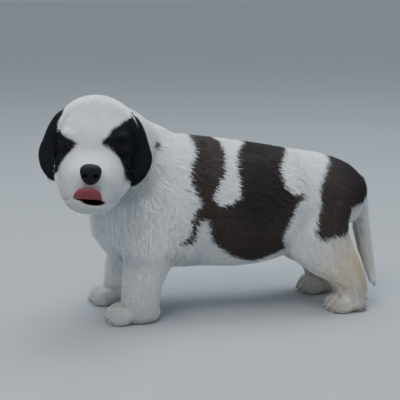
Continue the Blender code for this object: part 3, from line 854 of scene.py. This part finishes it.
def bare(points):
    """Where no hair grows: the eyes, the nose, the mouth and the soles."""
    local = in_head(points)
    gone = (points[:, 2] < BARE["soles"]) | (from_mouth(local) < BARE["lips"])
    for name in SIDES:
        gone |= from_slit(local, name) < BARE["lids"]
    return gone | (size_of((local - NOSE_AT) / (np.array(NOSE_RADII) + 0.3)) < 1)


def flesh(points):
    """Where the skin is pink, the brown of the lips, and near black: painted shade inside the mouth's
    opening and the line of the lips, and the blackish rims of the eyes.
    """
    def within(away, place):
        edge, width = FLESH_EDGES[place]
        return 1 - soft(away - edge, width)

    local = in_head(points)
    pink = within(size_of((local - NOSE_AT) / (np.array(NOSE_RADII) + 1)), "nose")
    lip = within(from_mouth(local), "lips")
    # painted shade inside the mouth's opening and the line of the lips
    dark = within(from_mouth(local), "mouth")
    for name in SIDES:
        dark = np.maximum(dark, within(from_slit(local, name), "lids"))
    return pink, lip, dark


def density_at(points):
    """More and smaller tufts on the face and the feet."""
    return np.interp(coat_at(points)[2], TUFT_LENGTHS, TUFTS_PER_MM2)


def tufts(roots, normals, lie, depth, length, dice):
    """Points of every tuft: its start in the skin, three round that, three half way and the tip."""
    lie = unit(lie - normals * (lie * normals).sum(1, keepdims=True))
    across = np.cross(normals, lie)
    count = len(roots)
    turn = dice.normal(0, 0.15, count)[:, None]
    lie, across = unit(lie + across * turn), unit(across - lie * turn)
    long = (length * dice.uniform(0.7, 1.2, count))[:, None]
    layer = dice.uniform(TUFT_LAYERS[0], TUFT_LAYERS[-1], count)
    lift = (depth * layer)[:, None]
    wide = np.interp(length, TUFT_LENGTHS, TUFT_WIDTHS) * np.interp(layer, TUFT_LAYERS, LAYER_WIDTHS)
    wide = (wide * dice.uniform(0.8, 1.2, count))[:, None]
    start = roots - normals * (0.3 * depth[:, None])
    middle = roots + lie * long * 0.42 + normals * lift * 0.85
    points = np.empty((count, 8, 3))
    points[:, 0] = start
    for first, centre in ((1, start), (4, middle)):
        points[:, first] = centre - across * wide * 0.5
        points[:, first + 1] = centre + normals * wide * 0.3
        points[:, first + 2] = centre + across * wide * 0.5
    low = lift * dice.uniform(0.15, 0.75, (count, 1))
    points[:, 7] = roots + lie * long + normals * low + across * long * dice.normal(0, 0.08, (count, 1))
    return points


def clumped(points, roots, length, dice):
    """Draws the tips of neighbouring tufts together into locks."""
    chosen = np.flatnonzero(dice.random(len(roots)) < LEADERS)
    tree = KDTree(len(chosen))
    for i, place in enumerate(chosen):
        tree.insert(roots[place], i)
    tree.balance()
    near = np.array([tree.find(root)[1] for root in roots])
    leader = chosen[near]
    pull = (roots - roots[leader]) * TIP_PULL * np.clip(length / 14, 0.2, 1)[:, None]
    points[:, 7] -= pull
    points[:, 4:7] -= (pull * MIDDLE_PULL)[:, None, :]
    return points


def lock_tones(roots, dice):
    """A tone from 0 to 1 for each tuft, much like those of the tufts beside it."""
    cells = np.floor((roots + dice.normal(0, 0.25 * LOCK, roots.shape)) / LOCK).astype(int)
    shared = dice.random(4096)[(cells @ (73, 179, 283)) % 4096]
    return 0.7 * shared + 0.3 * dice.random(len(roots))


def coat_piece(name, kind, points, normals, marks, tones, map_at):
    """One mesh of many tufts, with their colours, soft normals and map."""
    used, corners, across, along = TUFT_KINDS[kind]
    points = points[:, used]
    count, size = points.shape[:2]
    triangles = (np.arange(count)[:, None, None] * size + np.array(corners)).reshape(-1, 3)
    mesh = bpy.data.meshes.new(name)
    mesh.vertices.add(count * size)
    mesh.vertices.foreach_set("co", points.astype(np.float32).ravel())
    mesh.loops.add(triangles.size)
    mesh.loops.foreach_set("vertex_index", triangles.astype(np.int32).ravel())
    mesh.polygons.add(len(triangles))
    mesh.polygons.foreach_set("loop_start", np.arange(0, triangles.size, 3, dtype=np.int32))
    mesh.update(calc_edges=True)
    uv = mesh.uv_layers.new(name="OFBake")
    corner = (map_at[:, None, :] + np.stack([across, along], 1) * PATCH).reshape(-1, 2)
    uv.data.foreach_set("uv", corner[triangles.ravel()].astype(np.float32).ravel())
    black, brown, cream = np.repeat(marks, size, axis=0).T
    tone = np.repeat(tones, size)
    add_floats(mesh, black=black, brown=brown, cream=cream, tip=np.tile(along, count), tone=tone)
    mesh.shade_smooth()
    own = vectors(mesh, mesh.vertex_normals, "vector")
    blend = unit(0.35 * own + 0.65 * np.repeat(normals, size, axis=0))
    mesh.normals_split_custom_set_from_vertices(blend.astype(np.float32))
    obj = bpy.data.objects.new(name, mesh)
    bpy.context.scene.collection.objects.link(obj)
    return obj


def chart_of(points):
    """Which chart of the unwrap each point of the body belongs to."""
    x, y, z = points.T
    chart = np.full(len(points), "trunk", dtype="U10")
    for limb, (front, back, top) in LIMB_CHARTS.items():
        for name, side in SIDES.items():
            chart[(x > front) & (x < back) & (z < top) & (side * y > 12)] = f"{limb}_{name}"
    chart[(x > TAIL_CHART[0]) & (z < TAIL_CHART[1])] = "tail"
    local = in_head(points)
    far = size_of(local)
    reach, muzzle_reach, muzzle_from = HEAD_CHART
    chart[(far < reach) | (far < muzzle_reach) & (local[:, 1] > muzzle_from)] = "head"
    return chart


def on_chart(points, chart):
    """Turns round the chart's axis, and the way along it from 0 to 1."""
    x, y, z = points.T
    if chart == "head":
        at, _ = round_head(points)
        return at[:, 0] / 360 + 0.5, at[:, 1] / 180 + 0.5
    if chart == "trunk":
        at = round_trunk(points)
        return at[:, 1] / GIRTH / (2 * math.pi) + 0.5, (at[:, 0] + 150) / 360
    if chart == "tail":
        return np.arctan2(y, x - 202) / (2 * math.pi) + 0.5, z / 160
    if chart.startswith("ear"):
        local = in_head(points) - np.array(((-1 if chart.endswith("left") else 1) * 50, -5, 0))
        return np.arctan2(local[:, 0], local[:, 1]) / (2 * math.pi) + 0.5, (local[:, 2] + 45) / 90
    limb, name = chart.split("_")
    rows = np.array(LEG[limb], float)[::-1]
    middle = np.interp(z, rows[:, 0], (rows[:, 1] + rows[:, 2]) / 2) + STEP[limb][name]
    return np.arctan2(y - SIDES[name] * 43, x - middle) / (2 * math.pi) + 0.5, z / 100


def unwrapped(points, charts, centres=None):
    """Each point's place on the map. A face's corners stay on the side of the seam where its centre is."""
    found = np.empty((len(points), 2))
    for name, (left, low, size) in CHARTS.items():
        held = charts == name
        if not held.any():
            continue
        turn, way = on_chart(points[held], name)
        if centres is not None:
            near = on_chart(centres[held], name)[0]
            turn = turn - np.round(turn - near)
        found[held, 0] = left + size * np.clip(turn, 0, 1)
        found[held, 1] = low + size * np.clip(way, 0, 1)
    return found


def map_skin(obj, chart=None):
    """Gives a skin its unwrap."""
    mesh = obj.data
    points = vectors(mesh, mesh.vertices, "co")
    corner = np.empty(len(mesh.loops), np.int32)
    mesh.loops.foreach_get("vertex_index", corner)
    sizes = np.empty(len(mesh.polygons), np.int32)
    mesh.polygons.foreach_get("loop_total", sizes)
    centres = np.repeat(vectors(mesh, mesh.polygons, "center"), sizes, axis=0)
    charts = chart_of(centres) if chart is None else np.full(len(centres), chart, dtype="U10")
    layer = mesh.uv_layers.new(name="OFBake")
    layer.data.foreach_set("uv", unwrapped(points[corner], charts, centres).astype(np.float32).ravel())


def mark_skin(obj, is_ear=False):
    """The coat's colours on the skin under it."""
    mesh = obj.data
    points = vectors(mesh, mesh.vertices, "co")
    black, brown, cream = markings(points).T
    if is_ear:
        black, brown = 1, 0
    # the skin under the coat takes the painted root shade of a point 0.3 of the way along a tuft
    add_floats(mesh, black=black, brown=brown, cream=cream, tip=0.3, tone=0.5)
    pink, lip, dark = flesh(points)
    add_floats(mesh, pink=pink, lip=lip, dark=dark)


def zones_of(points):
    """The name of the coat piece that each root belongs to."""
    x = points[:, 0]
    zone = np.full(len(points), "coat_flanks", dtype="U16")
    zone[x < SHOULDERS_TO] = "coat_shoulders"
    zone[x > RUMP_FROM] = "coat_rump"
    chart = chart_of(points)
    zone[np.char.startswith(chart, "fore")] = "coat_forelegs"
    zone[np.char.startswith(chart, "hind")] = "coat_hindlegs"
    zone[chart == "tail"] = "coat_tail"
    zone[chart == "head"] = "coat_head"
    zone[(chart == "head") & (in_head(points)[:, 1] > HEAD_CHART[2])] = "coat_face"
    return zone


def grow_coat(skin, ears):
    """All the tufts of the coat, as pieces of at most MOST_TRIANGLES."""
    dice = np.random.default_rng(COAT_SEED)
    roots, normals = roots_on(skin, density_at)
    kept = ~bare(roots)
    roots, normals = roots[kept], normals[kept]
    lie, depth, length = coat_at(roots)
    points = clumped(tufts(roots, normals, lie, depth, length, dice), roots, length, dice)
    points[:, :, 2] = np.maximum(points[:, :, 2], FLOOR_GAP)
    marks = markings(roots + dice.normal(0, MARKS_BLUR, roots.shape), 1.5)
    tones = lock_tones(roots, dice)
    map_at = unwrapped(roots, chart_of(roots))
    zones = zones_of(roots + dice.normal(0, ZONE_BLUR, roots.shape))
    kinds = np.where(length * dice.uniform(0.75, 1.3, len(length)) > BENT_FROM, "long", "short")
    pieces = []
    for zone in sorted(set(zones)):
        for kind, (_, corners, *_) in TUFT_KINDS.items():
            held = np.flatnonzero((zones == zone) & (kinds == kind))
            most = MOST_TRIANGLES // len(corners)
            for number, start in enumerate(range(0, len(held), most), 1):
                rows = held[start : start + most]
                own = [values[rows] for values in (points, normals, marks, tones, map_at)]
                pieces.append(coat_piece(f"{zone}_{kind}_{number}", kind, *own))
    for name, obj in ears.items():
        pieces.append(ear_coat(name, obj, SIDES[name], dice))
    return pieces


def ear_coat(name, obj, side, dice):
    """The short black coat of an ear, lying towards its tip."""
    roots, normals = roots_on(obj, lambda at: np.full(len(at), EAR_TUFTS_PER_MM2))
    local = in_head(roots)
    kept = np.abs(local[:, 0]) > EAR_FROM
    roots, normals, local = roots[kept], normals[kept], local[kept]
    rows = np.array(EAR, float)
    turn = np.array(HEAD.to_3x3())
    near = np.argmin(np.abs(rows[:-1, 2] - local[:, 2:]), axis=1)
    lie = unit(((rows[near + 1, :3] - rows[near, :3]) * (side, 1, 1)) @ turn.T)
    depth = np.full(len(roots), EAR_COAT[0])
    length = np.interp(local[:, 2], (-30, 10), (EAR_COAT[1] + 2, EAR_COAT[1] - 1))
    points = clumped(tufts(roots, normals, lie, depth, length, dice), roots, length, dice)
    marks = np.tile((1, 0, 0), (len(roots), 1))
    map_at = unwrapped(roots, np.full(len(roots), f"ear_{name}", dtype="U10"))
    return coat_piece(f"coat_ear_{name}", "long", points, normals, marks, lock_tones(roots, dice), map_at)


def make_whiskers():
    """Thin stiff hairs that sweep back from the sides of the muzzle."""
    dice = np.random.default_rng(COAT_SEED)
    bm = bmesh.new()
    for side in SIDES.values():
        for y, z in WHISKERS:
            root = Vector((side * 20, y, z))
            back, down = -0.35 + 0.1 * dice.normal(), -0.15 + 0.12 * dice.normal()
            way = Vector((side * 0.85, back, down)).normalized()
            length = dice.uniform(*WHISKER_LENGTHS)
            rings = []
            for t in (i / 6 for i in range(7)):
                at = root + way * length * t + Vector((0, -4, -3)) * t**2
                size = WHISKER_RADIUS * (1.05 - t)
                rings.append([HEAD @ (at + Vector((0, size * a, size * b))) for a, b in round_section(5)])
            loft(bm, rings)
    return new_object("whiskers", bm)


def add_node(tree, kind, **values):
    node = tree.nodes.new(kind)
    for name, value in values.items():
        setattr(node, name, value)
    return node


def new_material(name, roughness, specular):
    """A material, its tree and its shader."""
    made = bpy.data.materials.new(name)
    made.use_nodes = True
    shader = made.node_tree.nodes["Principled BSDF"]
    shader.inputs["Roughness"].default_value = roughness
    shader.inputs["Specular IOR Level"].default_value = specular
    return made, made.node_tree, shader


def scatter(shader, weight, radius):
    """Lets the light go on under the surface, as far as the radius in metres for red, green and blue."""
    shader.inputs["Subsurface Weight"].default_value = weight
    shader.inputs["Subsurface Radius"].default_value = radius


def attribute(tree, name):
    """The number that each point of the mesh carries under a name."""
    return add_node(tree, "ShaderNodeAttribute", attribute_name=name).outputs["Fac"]


def blended(tree, share, a, b, kind="MIX"):
    """A mix of two colours, each a value or another node's output."""
    mix = add_node(tree, "ShaderNodeMix", data_type="RGBA", blend_type=kind)
    for socket, value in ((mix.inputs[0], share), (mix.inputs[6], a), (mix.inputs[7], b)):
        if isinstance(value, bpy.types.NodeSocket):
            tree.links.new(value, socket)
        elif isinstance(value, tuple):
            socket.default_value = (*value, 1)
        else:
            socket.default_value = value
    return mix.outputs[2]


def ramp(tree, value, low, high):
    """A grey from low to high as the value goes from 0 to 1."""
    node = add_node(tree, "ShaderNodeMapRange")
    tree.links.new(value, node.inputs[0])
    node.inputs[3].default_value = low
    node.inputs[4].default_value = high
    return node.outputs[0]


def noise(tree, scale, detail=3.0):
    """Cloudy noise from 0 to 1."""
    place = add_node(tree, "ShaderNodeTexCoord").outputs["Object"]
    node = add_node(tree, "ShaderNodeTexNoise")
    node.inputs["Scale"].default_value = scale
    node.inputs["Detail"].default_value = detail
    tree.links.new(place, node.inputs["Vector"])
    return node.outputs["Fac"]


def bumped(tree, shader, height, distance, strength=1.0):
    node = add_node(tree, "ShaderNodeBump")
    node.inputs["Distance"].default_value = distance
    node.inputs["Strength"].default_value = strength
    tree.links.new(height, node.inputs["Height"])
    tree.links.new(node.outputs["Normal"], shader.inputs["Normal"])


def mottled(name, roughness, specular, scale, one, other):
    """A material that drifts between two colours."""
    made, tree, shader = new_material(name, roughness, specular)
    colour = blended(tree, noise(tree, scale), COLOURS[one], COLOURS[other])
    tree.links.new(colour, shader.inputs["Base Color"])
    return made, tree, shader


def coat_material(name, is_skin):
    """White, cream, brown and black hair by the attributes of each tuft, with painted shade that makes it
    darker towards the root.
    """
    made, tree, shader = new_material(name, 0.8, 0.15)
    shader.subsurface_method = "BURLEY"
    scatter(shader, SOFTNESS, SOFT_RADIUS)
    shader.inputs["Subsurface Scale"].default_value = 1
    tip = attribute(tree, "tip")
    pale = ramp(tree, tip, 0, 0.5)
    white = blended(tree, attribute(tree, "cream"), COLOURS["white"], COLOURS["cream"])
    russet = blended(tree, ramp(tree, noise(tree, 60), 0, 0.7), COLOURS["brown"], COLOURS["russet"])
    brown = blended(tree, pale, russet, COLOURS["brown_tip"])
    black = blended(tree, pale, COLOURS["black"], COLOURS["black_tip"])
    colour = blended(tree, attribute(tree, "brown"), white, brown)
    colour = blended(tree, attribute(tree, "black"), colour, black)
    # the random tone of each lock, then painted shade, darker towards the root of each tuft
    for shade in (ramp(tree, attribute(tree, "tone"), *TONES), ramp(tree, tip, *PAINTED_ROOT_SHADE)):
        colour = blended(tree, 1.0, colour, shade, "MULTIPLY")
    if is_skin:
        # the last of these paints the shade inside the mouth, and gives the rims of the eyes their blackish
        # colour
        for part in ("pink", "lip", "dark"):
            colour = blended(tree, attribute(tree, part), colour, COLOURS[part])
        bumped(tree, shader, noise(tree, 900), 0.0004)
    tree.links.new(colour, shader.inputs["Base Color"])
    return made


def nose_material():
    """Black leather with a fine pebble."""
    made, tree, shader = mottled("nose_leather", 0.45, 0.18, 150, "leather", "leather_pale")
    pebble = add_node(tree, "ShaderNodeTexVoronoi")
    pebble.inputs["Scale"].default_value = 1500
    tree.links.new(add_node(tree, "ShaderNodeTexCoord").outputs["Object"], pebble.inputs["Vector"])
    bumped(tree, shader, pebble.outputs["Distance"], 0.00025, 0.6)
    return made


def tongue_material():
    made, tree, shader = mottled("tongue_skin", 0.38, 0.5, 220, "tongue", "tongue_pale")
    scatter(shader, 0.15, (0.003, 0.001, 0.0008))
    bumped(tree, shader, noise(tree, 1500), 0.0003)
    return made


def claw_material():
    made, tree, shader = mottled("claw_horn", 0.42, 0.5, 700, "horn", "horn_pale")
    bumped(tree, shader, noise(tree, 1200), 0.0002)
    return made


def eye_material():
    """A dark pupil and a brown iris by the way round from the middle, then the white, wet all over."""
    made, tree, shader = new_material("eye", 0.12, 0.2)
    iris = blended(tree, noise(tree, 900), COLOURS["iris"], COLOURS["iris_pale"])
    colour = COLOURS["pupil"]
    for (low, high), outer in ((PUPIL_EDGE, iris), (IRIS_EDGE, COLOURS["eye_white"])):
        step = add_node(tree, "ShaderNodeMapRange", interpolation_type="SMOOTHSTEP")
        tree.links.new(attribute(tree, "ring"), step.inputs[0])
        step.inputs[1].default_value = low
        step.inputs[2].default_value = high
        colour = blended(tree, step.outputs[0], colour, outer)
    tree.links.new(colour, shader.inputs["Base Color"])
    return made


def make_nose():
    """The leather of the nose, narrower below, with its nostrils."""
    bm = bmesh.new()
    x, _, z = NOSE_RADII
    rings = []
    for y, wide, tall in eased(NOSE_PROFILE, 4):
        ring = [(x * wide * a * (0.90 + 0.22 * b), y, z * tall * b) for a, b in round_section(64, 2.3)]
        rings.append([HEAD @ (Vector(NOSE_AT) + Vector(point)) for point in ring])
    loft(bm, rings)
    obj = new_object("nose_leather", bm)
    for centre, radii, slant in NOSE_HOLES:
        place = HEAD @ Matrix.Translation(centre) @ Matrix.Rotation(slant, 4, "Y")
        combine(obj, "DIFFERENCE", ball("hole", (0, 0, 0), radii, place))
    return obj


def make_tongue():
    """The tongue, out between the lips and up to the nose."""
    bm = bmesh.new()
    rings = []
    rows = eased(TONGUE, 5)
    for i, (y, z, half, thick) in enumerate(rows):
        a, b = rows[max(i - 1, 0)], rows[min(i + 1, len(rows) - 1)]
        along = Vector((0, b[0] - a[0], b[1] - a[1])).normalized()
        up = Vector((0, -along.z, along.y))
        ring = []
        for across, rise in round_section(36):
            groove = 0.9 * thick * max(0.0, 1 - abs(across) / 0.35) ** 2 if rise > 0 else 0
            droop = 1.6 * across**4
            middle = Vector((TONGUE_X + half * across, y, z - droop))
            ring.append(HEAD @ (middle + up * (thick * rise - groove)))
        rings.append(ring)
    loft(bm, rings)
    return new_object("tongue_skin", bm)


def make_eye(name, side):
    """An eyeball with a bulge over its iris, and how far each point lies from the iris's middle."""
    bm = bmesh.new()
    x, y, z = EYE_AT
    look = Vector((side * EYE_OUT[0], EYE_OUT[1], EYE_OUT[2])).normalized()
    turn = Matrix.Translation((side * x, y, z)) @ look.to_track_quat("Z", "Y").to_matrix().to_4x4()
    bmesh.ops.create_uvsphere(bm, u_segments=48, v_segments=48, radius=EYE_RADIUS)
    rings = []
    for vert in bm.verts:
        ring = vert.co.angle(Vector((0, 0, 1))) / IRIS_ANGLE
        vert.co *= 1 + CORNEA / EYE_RADIUS * max(0.0, 1 - ring**2)
        rings.append(min(ring, 4.0) * 0.8)
    bm.transform(HEAD @ turn)
    obj = new_object(f"eyeball_{name}", bm)
    add_floats(obj.data, ring=rings)
    return obj


def finish_piece(obj, material, slot, *nodes):
    """Places a piece with its material, and hides the nodes it stands for."""
    placed(obj)
    obj.data.materials.clear()
    obj.data.materials.append(material)
    if nodes:
        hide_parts(*nodes)


def make_animal():
    flesh = ["torso", "neck", "head", "jaw", "tail"]
    flesh += [f"{part}_{name}" for part in ("foreleg", "forepaw", "hindleg", "hindpaw") for name in SIDES]
    coat, under = coat_material("coat", False), coat_material("coat_skin", True)
    skin = make_skin()
    ears = {name: ear(f"skin_ear_{name}", side, EAR_SINK) for name, side in SIDES.items()}
    mark_skin(skin)
    map_skin(skin)
    pieces = grow_coat(skin, ears)
    for name, obj in ears.items():
        mark_skin(obj, True)
        map_skin(obj, f"ear_{name}")
        finish_piece(obj, under, "ear", f"ear_{name}")
    finish_piece(skin, under, "coat", *flesh)
    for obj in pieces:
        finish_piece(obj, coat, "ear" if "ear" in obj.name else "coat")
    finish_piece(make_nose(), nose_material(), "nose", "nose")
    finish_piece(make_tongue(), tongue_material(), "tongue", "tongue")
    eye = eye_material()
    for name, side in SIDES.items():
        finish_piece(make_eye(name, side), eye, "eye", f"eye_{name}")
    whiskers = make_whiskers()
    add_floats(whiskers.data, black=0, brown=0, cream=0, tip=1, tone=0.5)
    finish_piece(whiskers, coat, "coat")
    horn = claw_material()
    for name, obj in frame["nodes"].items():
        if name.startswith("claw"):
            for slot in obj.material_slots:
                slot.material = horn


def make_stage():
    """A plain pale floor and soft light from above."""
    bm = bmesh.new()
    bmesh.ops.create_grid(bm, x_segments=1, y_segments=1, size=100)
    floor = new_object("floor", bm)
    floor.data.materials.append(mottled("floor", 0.8, 0.2, 3, "floor", "floor_pale")[0])
    world = bpy.data.worlds.new("studio")
    bpy.context.scene.world = world
    world.use_nodes = True
    back = world.node_tree.nodes["Background"]
    back.inputs[0].default_value = (*SKY[0], 1)
    back.inputs[1].default_value = SKY[1]
    for name, (at, size, power, colour) in LIGHTS.items():
        light = bpy.data.lights.new(name, "AREA")
        light.energy = power
        light.size = size
        light.color = colour
        obj = bpy.data.objects.new(name, light)
        obj.location = at
        obj.rotation_euler = (Vector(LIT_AT) - Vector(at)).to_track_quat("-Z", "Y").to_euler()
        bpy.context.scene.collection.objects.link(obj)


def make_camera():
    """The photograph's camera."""
    around, up = (math.radians(angle) for angle in VIEW[:2])
    back = Vector((math.sin(around) * math.cos(up), -math.cos(around) * math.cos(up), math.sin(up)))
    camera = bpy.data.objects.new("camera", bpy.data.cameras.new("camera"))
    camera.data.lens = LENS
    camera.data.sensor_width = 36
    camera.location = part_origin() + Vector(LOOK_AT) * MM + back * VIEW[2]
    camera.rotation_mode = "QUATERNION"
    camera.rotation_quaternion = (-back).to_track_quat("-Z", "Y")
    bpy.context.scene.collection.objects.link(camera)
    bpy.context.scene.camera = camera


make_animal()
make_stage()
make_camera()
